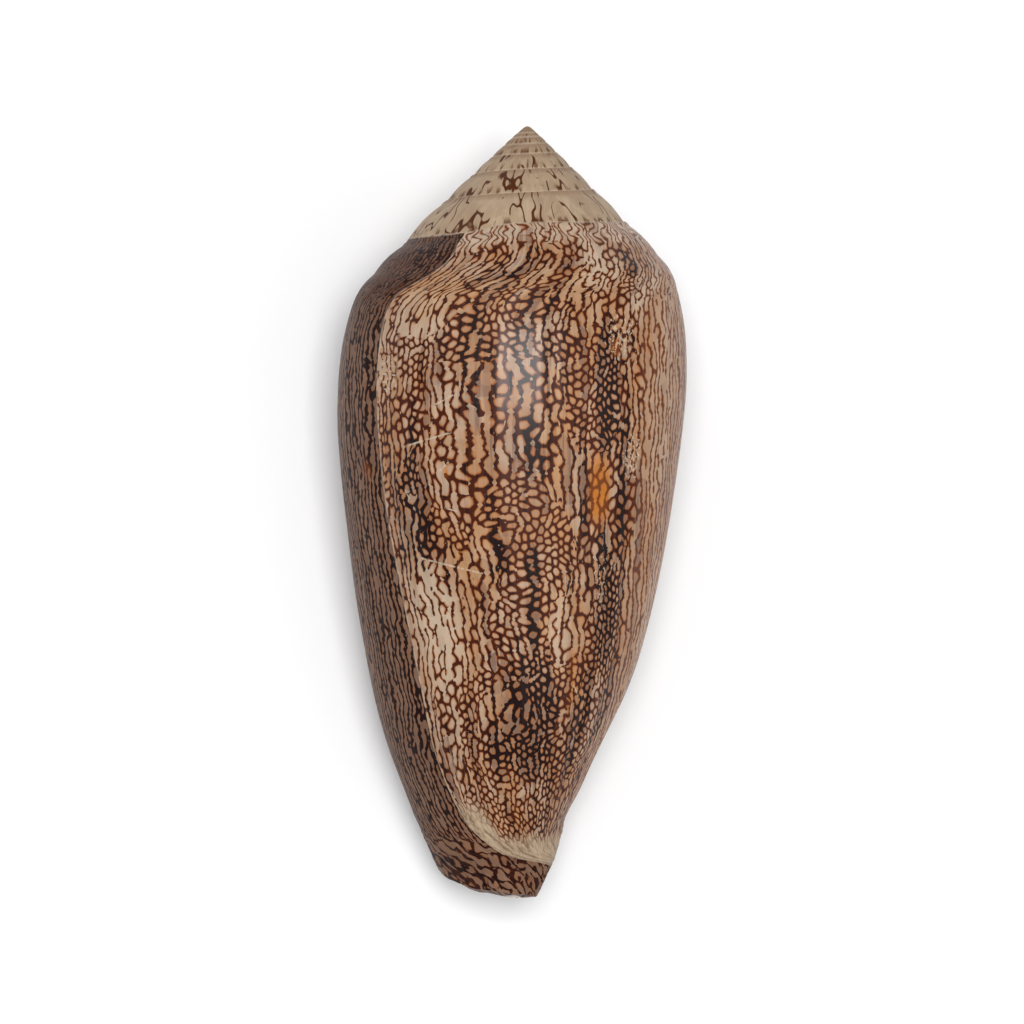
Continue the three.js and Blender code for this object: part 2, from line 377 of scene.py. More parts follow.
def growHollow():
    step = 360 * hollow["turns"] / hollow["columns"]
    rings, outers, inners = [], [], []
    for k in range(hollow["columns"] + 1):
        angle = growth["lipAngle"] + hollow["reach"] - (hollow["columns"] - k) * step
        edge = spireHeight(shoulderEdge(angle))
        shut, wide = hollow["topSearch"]
        top = hollowEnd(angle, edge * shut, edge * wide)
        bottom = hollowEnd(angle, hollow["bottom"], edge * hollow["bottomSearch"])
        outerLine, innerLine = [], []
        for row in range(hollow["rows"] + 1):
            share = row / hollow["rows"]
            spread = share * (hollow["evenShare"] + (1 - hollow["evenShare"]) * share)
            height = top + (bottom - top) * spread
            turned = angle + lipShare(angle) * lipForward(height)
            outer, inner = hollowRadii(turned, height)
            outerLine.append((shellPoint(turned, outer, height), (turned, height), (0, 0), (0, 0)))
            innerLine.append((shellPoint(turned, inner, height), (turned, height), (0, 0), (0, 0)))
        rings.append(outerLine + innerLine[::-1] + outerLine[:1])
        outers.append(outerLine)
        inners.append(innerLine)
    sheets = [
        sheetFrom("walls", rings),
        sheetFrom("deepEnd", [outers[0], inners[0]]),
        sheetFrom("openEnd", [outers[-1], inners[-1]]),
    ]
    return closedFrom(sheets, "hollow")


def raggedness(angle, across):
    fineAcross, broadAcross = base["raggedAcross"]
    broadRound, fineRound = (math.radians(angle) * count for count in base["raggedRound"])
    uneven = math.sin(across * fineAcross + base["raggedSwing"] * math.sin(broadRound))
    uneven += base["raggedFine"] * math.sin(fineRound + across * broadAcross)
    return base["ragged"] * uneven * smoothStep(across)


# What lies below the domed and slightly ragged base. Its net lies flat on the cut face.
def growBaseCutter():
    radius = base["domeRadius"]
    length, wide, netStart = growth["length"], growth["length"] / 2, base["netStart"]
    lines = []
    for column in range(base["domeColumns"] + 1):
        angle = 360 * column / base["domeColumns"]
        line = [(angle, 0, length + wide), (angle, wide, length + wide), (angle, wide, wide)]
        for row in range(base["domeRows"], -1, -1):
            turn = math.radians(base["domeReach"]) * row / base["domeRows"]
            across = radius * math.sin(turn)
            rise = radius * (1 - math.cos(turn)) - raggedness(angle, across)
            line.append((angle, across, length - rise))
        points = []
        for place, lineAndHeight, net, whorl in grown(line, None, lastWhorlMark):
            points.append((place, lineAndHeight, (place[0] + netStart, place[2] + netStart), whorl))
        lines.append(points)
    return closedFrom([sheetFrom("baseCutter", lines)], "baseCutter")


def selectOnly(*pieces):
    bpy.ops.object.select_all(action="DESELECT")
    for piece in pieces:
        piece.select_set(True)
    bpy.context.view_layer.objects.active = pieces[0]


# Joins sheets into one closed body with its faces pointing out
def closedFrom(sheets, name):
    selectOnly(*sheets)
    if len(sheets) > 1:
        bpy.ops.object.join()
    body = bpy.context.object
    body.name = name
    bpy.ops.object.mode_set(mode="EDIT")
    bpy.ops.mesh.select_all(action="SELECT")
    bpy.ops.mesh.remove_doubles(threshold=growth["mergeDistance"])
    bpy.ops.mesh.select_all(action="DESELECT")
    bpy.ops.mesh.select_mode(type="EDGE")
    bpy.ops.mesh.select_non_manifold(extend=False, use_wire=True, use_boundary=True)
    bpy.ops.mesh.fill_holes(sides=0)
    bpy.ops.mesh.select_all(action="SELECT")
    bpy.ops.mesh.normals_make_consistent(inside=False)
    bpy.ops.object.mode_set(mode="OBJECT")
    return body


def cutAway(body, cutter):
    cut = body.modifiers.new("cut", "BOOLEAN")
    cut.object = cutter
    cut.operation = "DIFFERENCE"
    cut.solver = "MANIFOLD"
    cut.material_mode = "TRANSFER"
    selectOnly(body)
    bpy.ops.object.modifier_apply(modifier="cut")
    bpy.data.objects.remove(cutter)


shell = growOutside()
print("outside grown:", len(shell.data.polygons), "faces")
inside = growHollow()
baseCutter = growBaseCutter()
outsideFinish = bpy.data.materials.new("nettedShell")
insideFinish = bpy.data.materials.new("porcelainInside")
shell.data.materials.append(outsideFinish)
inside.data.materials.append(insideFinish)
baseCutter.data.materials.append(outsideFinish)
cutAway(shell, inside)
cutAway(shell, baseCutter)
print("mouth and base opened:", len(shell.data.polygons), "faces")

# Laid down on its mouth, over the place that the frame gives it
layingTurn = Euler((math.radians(resting["tilt"]), 0, 0)).to_matrix()
layingTurn = layingTurn @ Euler((0, math.radians(resting["roll"]), 0)).to_matrix()
shell.data.transform((layingTurn * millimetre).to_4x4())
low = Vector([min(vertex.co[i] for vertex in shell.data.vertices) for i in range(3)])
high = Vector([max(vertex.co[i] for vertex in shell.data.vertices) for i in range(3)])
boxLow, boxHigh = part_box("shell")
shift = (boxLow + boxHigh - low - high) / 2
shift.z = boxLow.z - low.z
shell.data.transform(Matrix.Translation(shift))
laid = Matrix.Translation(shift) @ (layingTurn * millimetre).to_4x4()
selectOnly(shell)
bpy.ops.object.shade_smooth_by_angle(angle=math.radians(growth["smoothAngle"]))
print("laid down, apex at", [round(number * 1000, 2) for number in laid.translation])


# Shader maths on sockets

class Flow:
    def __init__(self, finish, socket):
        self.finish = finish
        self.socket = socket

    def other(self, name):
        return Flow(self.finish, self.socket.node.outputs[name])

    def maths(self, operation, second, swapped=False):
        first, second = (second, self) if swapped else (self, second)
        return self.finish.node("ShaderNodeMath", {"operation": operation}, {0: first, 1: second})

    def __add__(self, value):
        return self.maths("ADD", value)

    def __sub__(self, value):
        return self.maths("SUBTRACT", value)

    def __rsub__(self, value):
        return self.maths("SUBTRACT", value, True)

    def __mul__(self, value):
        return self.maths("MULTIPLY", value)

    __radd__ = __add__
    __rmul__ = __mul__


class Finish:
    def __init__(self, material):
        material.use_nodes = True
        self.tree = material.node_tree
        self.tree.nodes.clear()
        output = self.tree.nodes.new("ShaderNodeOutputMaterial")
        self.shader = self.tree.nodes.new("ShaderNodeBsdfPrincipled")
        self.tree.links.new(self.shader.outputs[0], output.inputs["Surface"])

    def put(self, node, name, value):
        if isinstance(value, Flow):
            self.tree.links.new(value.socket, node.inputs[name])
        else:
            node.inputs[name].default_value = value

    def node(self, kind, settings=None, inputs=None, output=0):
        made = self.tree.nodes.new(kind)
        for name, value in (settings or {}).items():
            setattr(made, name, value)
        for name, value in (inputs or {}).items():
            self.put(made, name, value)
        return Flow(self, made.outputs[output])

    def map(self, name):
        return self.node("ShaderNodeUVMap", {"uv_map": name})

    def parts(self, vector):
        split = self.node("ShaderNodeSeparateXYZ", None, {0: vector})
        return split, split.other("Y")

    def vector(self, x, y, z=0):
        return self.node("ShaderNodeCombineXYZ", None, {0: x, 1: y, 2: z})

    def vectorMaths(self, operation, first, second, output=0):
        return self.node("ShaderNodeVectorMath", {"operation": operation}, {0: first, 1: second}, output)

    def fade(self, value, low, high, start=0, end=1):
        inputs = {"Value": value, 1: low, 2: high, 3: start, 4: end}
        return self.node("ShaderNodeMapRange", {"interpolation_type": "SMOOTHSTEP"}, inputs)

    def larger(self, first, second):
        return first.maths("MAXIMUM", second)

    def smaller(self, first, second):
        return first.maths("MINIMUM", second)

    def blend(self, share, first, second):
        return self.node("ShaderNodeMix", {"data_type": "RGBA"}, {0: share, 6: first, 7: second}, 2)

    def choose(self, share, first, second):
        return self.node("ShaderNodeMix", {"data_type": "VECTOR"}, {0: share, 4: first, 5: second}, 1)

    def length(self, vector):
        return self.node("ShaderNodeVectorMath", {"operation": "LENGTH"}, {0: vector}, "Value")

    def pick(self, share, first, second):
        return self.node("ShaderNodeMix", {"data_type": "FLOAT"}, {0: share, 2: first, 3: second})

    def clamp(self, value):
        return self.node("ShaderNodeClamp", None, {0: value})

    def chance(self, vector):
        return self.node("ShaderNodeTexWhiteNoise", {"noise_dimensions": "2D"}, {"Vector": vector})

    def clouds(self, vector, scale=1, detail=2, roughness=0.5, sides="2D"):
        inputs = {"Vector": vector, "Scale": scale, "Detail": detail, "Roughness": roughness}
        return self.node("ShaderNodeTexNoise", {"noise_dimensions": sides}, inputs)

    def cells(self, vector, spread):
        inputs = {"Vector": vector, "Scale": 1, "Randomness": spread}
        return self.node("ShaderNodeTexVoronoi", {"voronoi_dimensions": "2D"}, inputs)


def colour(red, green, blue):
    linear = [((part / 255 + 0.055) / 1.055) ** 2.4 for part in (red, green, blue)]
    return (*linear, 1)


netted = {
    "cream": colour(184, 156, 132),
    "peach": colour(176, 133, 98),
    "honey": colour(182, 137, 94),
    "ivory": colour(198, 176, 152),
    "ochre": colour(192, 114, 20),
    "violetGrey": colour(126, 98, 84),
    "dustyBrown": colour(122, 90, 72),
    "tawny": colour(170, 106, 54),
    "rust": colour(132, 66, 22),
    "redBrown": colour(70, 30, 16),
    "darkChocolate": colour(32, 17, 16),
    "spireBeige": colour(184, 160, 132),
    "spireTan": colour(150, 120, 96),
    "spireMark": colour(92, 50, 24),
    "bandCream": colour(190, 168, 140),
    "bandStreak": colour(126, 98, 74),
    "chalk": colour(204, 184, 160),
    "fineNet": (0.62, 0.95),        # from cell to cell across and along, in millimetres
    "longNet": (0.8, 1.4),
    "stretch": 1.12,                # near 1.15 the cells are even hexagons stretched to that size
    "jitter": 0.26,
    "lattices": [(0, 0), (0, 0.5), (0.5, 0.25), (0.5, 0.75)],   # set off like this, they interlock
    "latticeShift": (5, 37),        # each lattice reads another part of the pattern
    "sameColumn": 0.26,             # sites closer than this sideways lie in one column
    "cornersFilled": (0.4, 0.8),
    "bending": 1.6, "wavering": 0.5, "waveringAtTop": 1.4, "lifting": 0.9,
    "scarNetAcross": (0.85, 22), "scarNetAlong": (0.45, 38),    # below the scar: by height, by turn
    "fraying": 5, "drifting": 4,    # how far zones are moved, in degrees and millimetres
    "lineEdge": (0.09, -0.08),
    # How wide the lines of the net are, and what the zones add
    "lineWidth": {
        "plain": 0.235, "dark": 0.18, "newest": 0.06, "farRight": 0.03, "uneven": 0.2,
        "band": 0.12, "pale": 0.1, "topBand": 0.08,
    },
    "darkness": {
        "streaks": 0.45, "onBack": 0.3, "inNewest": 0.5, "frayed": 0.45,
        "newest": 0.6, "base": 0.3, "pale": 0.6, "farRight": 0.05,
    },
    # Shares of cells that run together
    "merging": {"least": 0.2, "most": 0.92, "farBack": 0.07, "long": 0.96, "fine": 0.3, "fineLong": 0.93},
    "branching": {"plain": 0.02, "pale": 0.18, "fine": 0.03},
    "fineShare": {"fine": 0.3, "farRight": 0.4, "pale": 0.3, "topBand": 0.5, "top": 1.1, "newest": 0.5},
    # Where zones start and end: growth lines in degrees, heights and distances in millimetres
    "zones": {
        "spire": (20, 14),          # from the next suture, with 100 more on the last whorl
        "base": (70, 74),
        "farRight": (-60, -70), "farRightEnd": (-128, -112), "onBack": (-75, -110), "farBack": (-25, 0),
        "topBand": (4.2, 2.6), "nearTop": (24, 16),
        "besideScar": (9, 19), "besideScarTop": (68.5, 71.5), "belowScar": 73.6,
        "band": (72.3, 74.3), "columellaEnd": (102.6, 101.8),
        # shadedTop: distances under each suture of the spire where painted shade darkens the top of the
        # whorl
        "marksEnd": (-4.4, -3.2), "marksThicken": (-1.6, -1.4), "worn": (-3.6, -5), "shadedTop": (1.5, 0.3),
    },
    # Noises: scales across and along, shift across, growth by turn, detail and roughness
    "noises": {
        "frayed": (0.4, 0.1, 0, 0, 3, 0.6),
        "drift": (0.05, 0.12, 0, 0, 2, 0.5),
        "streaks": (0.16, 0.035, 0, 0, 4, 0.62),
        "bend": (0.25, 0.16, 0, 0, 1, 0.5),
        "waver": (0.5, 0.7, 0, 0, 0, 0.5),
        "lift": (0.45, 0.2, 40, 0, 0, 0.5),
        "bold": (0.5, 0.3, 9, 0, 2, 0.5),
        "strips": (0.35, 0.1, 5, 0, 2, 0.5),
        "patchy": (0.16, 0.09, 3, 0, 2, 0.5),
        "mottled": (0.3, 0.15, 0, 0, 3, 0.5),
        "stripTone": (1.1, 0.07, 0, 0, 1, 0.5),
        "smudge": (0.8, 0.4, 3, 5, 3, 0.5),
        "sparse": (0.22, 0.25, 20, 3, 1, 0.5),
        "strokes": (0.45, 0.22, 0, 9, 1, 0.5),
        "growthLines": (1.1, 0.05, 0, 0, 3, 0.7),
        "swirl": (0.11, 0.3, 0, 0, 4, 0.7),
        "pebbled": (2, 0.6, 0, 0, 2, 0.5),
        "grains": (0.9, 2.6, 0, 0, 3, 0.6),
        "striae": (0.04, 2.2, 0, 0, 2, 0.6),
    },
    "spotEdge": (0.45, 1.3),
    "darkSpots": [
        (-51, 26.5, 5, 7.5, 1.0), (-51, 44.4, 4, 4.5, 0.8), (-53, 51, 5, 5.5, 0.9),
        (-22, 45.6, 3, 2.5, 1.0), (-10, 44.7, 3, 2.2, 0.8), (-20, 51, 3, 3, 0.8),
        (-18, 60.7, 13, 6.5, 1.25), (-5, 25.5, 3.5, 6, 0.3),
        (-24, 33, 3.2, 2.8, 0.8), (-47, 14.5, 5, 1.4, 0.9), (-17, 14.4, 5, 0.7, 0.4),
        (0, 15.4, 5, 0.7, 0.7), (20, 40, 7, 6, 0.75), (-45, 62, 7, 6, 0.6), (-62, 58, 7, 5, 0.5),
        (-22, 26, 6, 6, 0.2), (-3, 63.5, 9, 3.5, 0.5), (-58, 36, 2, 7, 0.7), (-42, 38, 1.6, 5, 0.7),
        (42, 14.5, 12, 2.5, 0.8), (38, 26, 5, 12, 0.5), (40, 60, 8, 12, 0.5),
    ],
    "paleSpots": [
        (17, 52.5, 12, 8, 1.0), (-31, 51.5, 6, 4.5, 0.8), (-64, 18, 6, 3.2, 0.8), (16, 19.5, 12, 3, 0.6),
        (4, 30, 5, 4.5, 0.4), (26, 26.5, 5, 3, 0.5), (-79, 28, 9, 13, 0.4), (-85, 52, 9, 9, 0.4),
        (-33, 14.6, 12, 2.4, 0.9),
    ],
    "warmSpots": [
        (-3, 17.5, 40, 2.5, 0.8), (-32, 33.3, 6, 4, 0.9), (-42, 21.5, 7, 4, 0.6), (-34, 28.3, 5, 4, 0.6),
        (-3, 44.5, 10, 4, 0.5), (-86, 49, 9, 8, 0.6), (-31, 51, 9, 7, 0.6), (-30, 41, 8, 3, 0.6),
    ],
    "ochreSpots": [
        (-48, 37.4, 5, 3.6, 1.0), (-54, 23.7, 2, 0.8, 1.0), (40, 36, 3, 1.4, 0.7), (5, 35.8, 1.4, 0.7, 0.8),
        (-37, 56.6, 2, 4.2, 0.45),
    ],
    "fineSpots": [
        (-46, 28, 11, 7, 1.0), (6, 71, 45, 3, 1.0), (-32, 44.4, 7, 4.5, 0.8), (-20, 48.4, 9, 5, 0.6),
        (-52, 52.6, 9, 8, 1.0), (-20, 66, 35, 4.5, 1.0), (-31, 57.6, 14, 2.5, 0.8),
    ],
    "wornSpots": [(-62, 34, 5, 3, 1.0), (26, 26, 5, 3, 0.8), (-56, 22, 7, 3.5, 0.8), (-49, 46, 4, 4, 0.6)],
    "scratches": [
        (7.2, 28.9, 0.9, 27.9), (19.5, 33.2, 2.5, 31.7), (6.9, 35.5, 3.9, 34.7), (6.5, 39.3, 1.9, 39.6),
        (19.4, 44.4, -3.4, 45.8), (21.2, 37.6, 19.6, 38.6), (-38.3, 57.2, -42.2, 58.7),
    ],
    "scratchWidth": 0.14, "scratchCore": 0.02,
    "degreeWidth": 0.3,             # millimetres round the whorl for each degree
    "scarWidth": (0.6, 0.2), "olderScar": 9, "olderScarAbove": (30, 26), "olderScarBelow": (62, 65),
    "relief": 0.7, "reliefHeight": 0.00016,
    "roughness": 0.3, "specular": 0.02, "coat": 0.36, "coatRoughness": 0.27,
}


# The nearer and the farther of two (distance, site) pairs
def inOrder(finish, one, two):
    swapped = two[0].maths("LESS_THAN", one[0])
    near = finish.smaller(one[0], two[0]), finish.choose(swapped, one[1], two[1])
    far = finish.larger(one[0], two[0]), finish.choose(swapped, two[1], one[1])
    return near, far


# A net of rounded cells in interlocking columns: how deep inside a cell a point lies, and where the
# middle of the cell is. Where merging is high, the cells of a column run together in scalloped strips;
# where branching is high, neighbouring columns join too.
def netOf(finish, net, wide, tall, merging, branching, rounding):
    place = finish.vectorMaths("MULTIPLY", net, (0.5 / wide, 0.5 / tall, 0))
    shiftAcross, shiftAlong = netted["latticeShift"]
    found = []
    for k, offset in enumerate(netted["lattices"]):
        shift = (offset[0] + shiftAcross * k, offset[1] + shiftAlong * k, 0)
        cell = finish.cells(finish.vectorMaths("ADD", place, shift), netted["jitter"])
        site = finish.vectorMaths("SUBTRACT", cell.other("Position"), shift)
        away = finish.vectorMaths("SUBTRACT", site, place)
        away = finish.vectorMaths("MULTIPLY", away, (2, 2 * netted["stretch"], 0))
        found.append((finish.length(away), site))
    nearest, behind = inOrder(finish, found[0], found[1])
    other, farther = inOrder(finish, found[2], found[3])
    nearest, other = inOrder(finish, nearest, other)
    behind = inOrder(finish, behind, farther)[0]
    second = inOrder(finish, other, behind)[0]
    chance = finish.chance(finish.vectorMaths("ADD", nearest[1], second[1]))
    apart = finish.vectorMaths("SUBTRACT", nearest[1], second[1])
    sideways = finish.parts(finish.vectorMaths("ABSOLUTE", apart, (0, 0, 0)))[0]
    inColumn = sideways.maths("LESS_THAN", netted["sameColumn"])
    opened = chance.maths("LESS_THAN", finish.pick(inColumn, branching, merging))
    rounded = finish.fade(nearest[0], *netted["cornersFilled"]) * rounding * (1 - opened)
    site = finish.vectorMaths("MULTIPLY", nearest[1], (2 * wide, 2 * tall, 0))
    return second[0] - nearest[0] + opened - rounded, site


# Soft spots at growth lines and heights: (line, height, half width in degrees, half height, strength)
def spotsOn(finish, place, spots):
    core, rim = netted["spotEdge"]
    total = None
    for line, height, wide, tall, strength in spots:
        away = finish.vectorMaths("SUBTRACT", place, (line, height, 0))
        away = finish.vectorMaths("MULTIPLY", away, (1 / wide, 1 / tall, 0))
        spot = finish.fade(finish.length(away), core, rim, strength, 0)
        total = spot if total is None else total + spot
    return finish.clamp(total)


# Thin scratches between two growth lines and heights
def scratchesOn(finish, line, height, scratches):
    degree = netted["degreeWidth"]
    total = None
    for startLine, startHeight, endLine, endHeight in scratches:
        run = Vector(((endLine - startLine) * degree, endHeight - startHeight, 0))
        start = (startLine * degree, startHeight, 0)
        away = finish.vectorMaths("SUBTRACT", finish.vector(line * degree, height), start)
        along = finish.vectorMaths("DOT_PRODUCT", away, tuple(run / run.length_squared), "Value")
        along = finish.clamp(along)
        scaling = {"operation": "SCALE"}
        nearest = finish.node("ShaderNodeVectorMath", scaling, {0: tuple(run), "Scale": along})
        distance = finish.vectorMaths("DISTANCE", away, nearest, "Value")
        scratch = finish.fade(distance, netted["scratchWidth"], netted["scratchCore"])
        total = scratch if total is None else finish.larger(total, scratch)
    return total


# A noise of the dictionary, over two numbers of a map
def noiseOn(finish, name, first, second, turns=None):
    across, along, shift, perTurn, detail, roughness = netted["noises"][name]
    first = first * across
    if shift:
        first = first + shift
    second = second * along
    if perTurn:
        second = second + turns * perTurn
    return finish.clouds(finish.vector(first, second), 1, detail, roughness)


# What the maps say at a point of the surface, and the zones it lies in
def zonesOf(finish):
    at = SimpleNamespace()
    at.line, at.height = finish.parts(finish.map("growth"))
    at.across, at.below = finish.parts(finish.map("net"))
    at.turns, at.above = finish.parts(finish.map("whorl"))
    zones = netted["zones"]
    scar = healedBreak["line"]
    # Zones drift and fray along the growth lines
    at.frayed = noiseOn(finish, "frayed", at.line, at.height)
    at.drift = noiseOn(finish, "drift", at.line, at.height)
    movedLine = at.line + (at.frayed - 0.5) * netted["fraying"]
    at.place = finish.vector(movedLine, at.height + (at.drift - 0.5) * netted["drifting"])
    at.early = finish.fade(at.above, *zones["spire"])
    at.newest = finish.fade(at.line, scar - 0.2, scar + 0.3) * (1 - at.early)
    at.atBase = finish.fade(at.height, *zones["base"])
    at.farRight = finish.fade(at.line, *zones["farRight"]) * finish.fade(at.line, *zones["farRightEnd"])
    at.topBand = finish.fade(at.below, *zones["topBand"]) * (1 - at.early) * (1 - at.newest)
    at.dark = spotsOn(finish, at.place, netted["darkSpots"])
    at.pale = spotsOn(finish, at.place, netted["paleSpots"])
    at.warm = spotsOn(finish, at.place, netted["warmSpots"])
    at.ochre = spotsOn(finish, at.place, netted["ochreSpots"])
    at.fine = spotsOn(finish, at.place, netted["fineSpots"])
    return at


# Dark streaks along the growth lines, on top of the dark spots
def addStreaks(finish, at):
    darkness = netted["darkness"]
    streaks = noiseOn(finish, "streaks", at.line, at.height)
    onBack = finish.fade(at.line, *netted["zones"]["onBack"])
    streaked = finish.fade(streaks, 0.47, 0.62)
    stronger = darkness["streaks"] + onBack * darkness["onBack"] + at.newest * darkness["inNewest"]
    streaked = streaked * stronger
    dark = at.dark + streaked + finish.fade(at.frayed, 0.54, 0.68) * darkness["frayed"]
    dark = dark + at.newest * (darkness["newest"] - at.atBase * darkness["base"])
    at.dark = finish.larger(dark - at.pale * darkness["pale"] - at.farRight * darkness["farRight"], 0)


# The net's coordinates, gently bent; the newest growth leans the other way below the scar
def bentNet(finish, at):
    bend = noiseOn(finish, "bend", at.across, at.below)
    waver = noiseOn(finish, "waver", at.across, at.below)
    lift = noiseOn(finish, "lift", at.across, at.below)
    wavering = netted["wavering"] + at.topBand * netted["waveringAtTop"]
    bentAcross = at.across + (bend - 0.5) * netted["bending"] + (waver - 0.5) * wavering
    bent = finish.vector(bentAcross, at.below + (lift - 0.5) * netted["lifting"])
    fromScar = (at.height + (at.drift - 0.5) * 3).maths("GREATER_THAN", netted["zones"]["belowScar"])
    belowScar = at.newest * fromScar
    byHeight, byTurn = netted["scarNetAcross"]
    leaningAcross = at.height * byHeight + at.turns * byTurn + (waver - 0.5)
    byHeight, byTurn = netted["scarNetAlong"]
    leaning = finish.vector(leaningAcross, at.turns * byTurn - at.height * byHeight)
    return finish.choose(belowScar, bent, leaning)


# The cream band round the base, which rises beside the scar, and the end of the columella
def creamBand(finish, at):
    zones = netted["zones"]
    besideScar = finish.fade(at.line, *zones["besideScar"]) * finish.fade(at.height, *zones["besideScarTop"])
    band = finish.larger(besideScar, finish.fade(at.height + (at.drift - 0.5) * 1.5, *zones["band"]))
    columellaEnd = finish.fade(at.above, *zones["columellaEnd"])
    return finish.larger(band * (1 - at.newest), columellaEnd) * (1 - at.early)


def lineThickness(finish, at):
    width = netted["lineWidth"]
    bold = noiseOn(finish, "bold", at.across, at.below)
    thickness = width["plain"] + at.dark * width["dark"] + at.newest * width["newest"]
    thickness = thickness + at.farRight * width["farRight"] + (bold - 0.5) * width["uneven"]
    return thickness - at.band * width["band"] - at.pale * width["pale"] - at.topBand * width["topBand"]


# The net in two sizes: how deep inside its cell each point lies, and which cell that is
def addNet(finish, at):
    zones, shares, branching = netted["zones"], netted["merging"], netted["branching"]
    net = bentNet(finish, at)
    at.band = creamBand(finish, at)
    thickness = lineThickness(finish, at)
    at.dark = finish.clamp(at.dark)
    rounding = 0.3 + at.dark * 0.25
    strips = noiseOn(finish, "strips", at.across, at.below)
    strips = strips + finish.fade(at.line, *zones["farBack"]) * shares["farBack"]
    strips = finish.fade(strips, 0.36, 0.64, shares["least"], shares["most"])
    longer = finish.larger(at.newest * (1 - at.atBase), at.farRight)
    merging = finish.larger(strips, at.early)
    merging = finish.larger(merging, finish.larger(longer * shares["long"], at.topBand))
    branchingLong = branching["plain"] + at.pale * branching["pale"]
    longDepth, longSite = netOf(finish, net, *netted["longNet"], merging, branchingLong, rounding)
    fineMerging = finish.larger(merging * shares["fine"], longer * shares["fineLong"])
    fineDepth, fineSite = netOf(finish, net, *netted["fineNet"], fineMerging, branching["fine"], rounding)
    fineShare = fineShareOf(finish, at)
    at.depth = finish.pick(fineShare, longDepth, fineDepth) - thickness
    at.site = finish.choose(fineShare, longSite, fineSite)


def fineShareOf(finish, at):
    share = netted["fineShare"]
    patchy = noiseOn(finish, "patchy", at.across, at.below)
    at.nearTop = finish.fade(at.height, *netted["zones"]["nearTop"])
    fine = patchy + at.fine * share["fine"] - at.farRight * share["farRight"]
    fine = fine - at.pale * share["pale"] - at.topBand * share["topBand"]
    return finish.fade(fine + at.newest * (at.nearTop * share["top"] - share["newest"]), 0.55, 0.57)


# The colour inside the cells, warmer close to the lines
def groundColour(finish, at):
    at.mottled = noiseOn(finish, "mottled", at.across, at.below)
    ground = finish.blend(finish.fade(at.mottled, 0.35, 0.65), netted["cream"], netted["peach"])
    ground = finish.blend(at.farRight * 0.6, ground, netted["peach"])
    ground = finish.blend(at.warm * 0.85, ground, netted["honey"])
    ground = finish.blend(finish.larger(at.pale, at.topBand) * 0.75, ground, netted["ivory"])
    stripTone = noiseOn(finish, "stripTone", *finish.parts(at.site))
    filled = finish.fade(stripTone + at.dark * 0.3, 0.55, 0.85) * (1 - at.pale)
    ground = finish.blend(filled * 0.85, ground, netted["violetGrey"])
    ground = finish.blend(at.ochre * 0.95, ground, netted["ochre"])
    ground = finish.blend(at.newest * 0.8, ground, netted["dustyBrown"])
    ground = finish.blend(at.dark * 0.3, ground, netted["dustyBrown"])
    ground = finish.blend(at.newest * at.nearTop * 0.5, ground, netted["redBrown"])
    nearLine = finish.fade(at.depth, 0.5, 0.1) * (0.6 - at.newest * 0.4)
    ground = finish.blend(nearLine, ground, netted["tawny"])
    nearLine = finish.fade(at.depth, 0.26, 0) * (0.8 - at.newest * 0.4)
    return finish.blend(nearLine, ground, netted["rust"])


def lineColour(finish, at):
    ink = finish.blend(finish.fade(at.dark, 0.15, 0.6), netted["redBrown"], netted["darkChocolate"])
    rusty = finish.larger(finish.larger(at.farRight, at.topBand) * 0.4, at.ochre * 0.7)
    return finish.blend(rusty, ink, netted["rust"])


# The spire has a few strokes, the edges of soft clouds, and more of them on its later whorls
def spireStrokes(finish, at):
    sparse = noiseOn(finish, "sparse", at.across, at.below, at.turns)
    thicker = finish.fade(at.turns, *netted["zones"]["marksThicken"]) * 0.03
    keepMarks = finish.fade(sparse + thicker, 0.5, 0.56)
    keepMarks = keepMarks * finish.fade(at.turns, *netted["zones"]["marksEnd"])
    strokes = noiseOn(finish, "strokes", at.across, at.below, at.turns)
    return finish.fade((strokes - 0.5).maths("ABSOLUTE", 0), 0.045, 0.022) * keepMarks


# The spire's ground: tan where mottled and on the older, worn whorls, and painted shade darkening the top of
# each whorl just under its suture
def spireColour(finish, at):
    agedAndShaded = finish.fade(at.mottled, 0.3, 0.7) * 0.4 + finish.fade(at.turns, *netted["zones"]["worn"]) * 0.5
    # Painted shade: from 1.5 to 0.3 millimetres under the suture above, the whorl is blended towards tan
    agedAndShaded = finish.larger(agedAndShaded, finish.fade(at.below, *netted["zones"]["shadedTop"]) * 0.75)
    return finish.blend(agedAndShaded, netted["spireBeige"], netted["spireTan"])


# The net with its ground, the spire and the cream band
def patternOf(finish, at):
    lines = finish.fade(at.depth, *netted["lineEdge"])
    ground = groundColour(finish, at)
    ink = lineColour(finish, at)
    lines = finish.pick(at.early, lines, spireStrokes(finish, at))
    ground = finish.blend(at.early, ground, spireColour(finish, at))
    ink = finish.blend(at.early * 0.7, ink, netted["spireMark"])
    lines = lines * (1 - at.band * 0.8)
    ground = finish.blend(at.band * 0.9, ground, netted["bandCream"])
    swirl = noiseOn(finish, "swirl", at.line, at.height)
    ground = finish.blend(at.band * finish.fade(swirl, 0.48, 0.62) * 0.75, ground, netted["bandStreak"])
    return finish.blend(lines, ground, ink)


# The healed break and its fainter forerunner
def scarsOf(finish, at):
    scar = healedBreak["line"]
    scarLine = (at.line - scar + 0.3).maths("ABSOLUTE", 0)
    scarLine = finish.fade(scarLine, *netted["scarWidth"]) * (1 - at.early)
    older = (at.line - scar + netted["olderScar"] + (at.drift - 0.5) * 3).maths("ABSOLUTE", 0)
    older = finish.fade(older, *netted["scarWidth"])
    above = finish.fade(at.height, *netted["olderScarAbove"])
    older = older * finish.larger(above, finish.fade(at.height, *netted["olderScarBelow"]))
    return finish.larger(scarLine, older * 0.7 * (1 - at.early) * (1 - at.band))


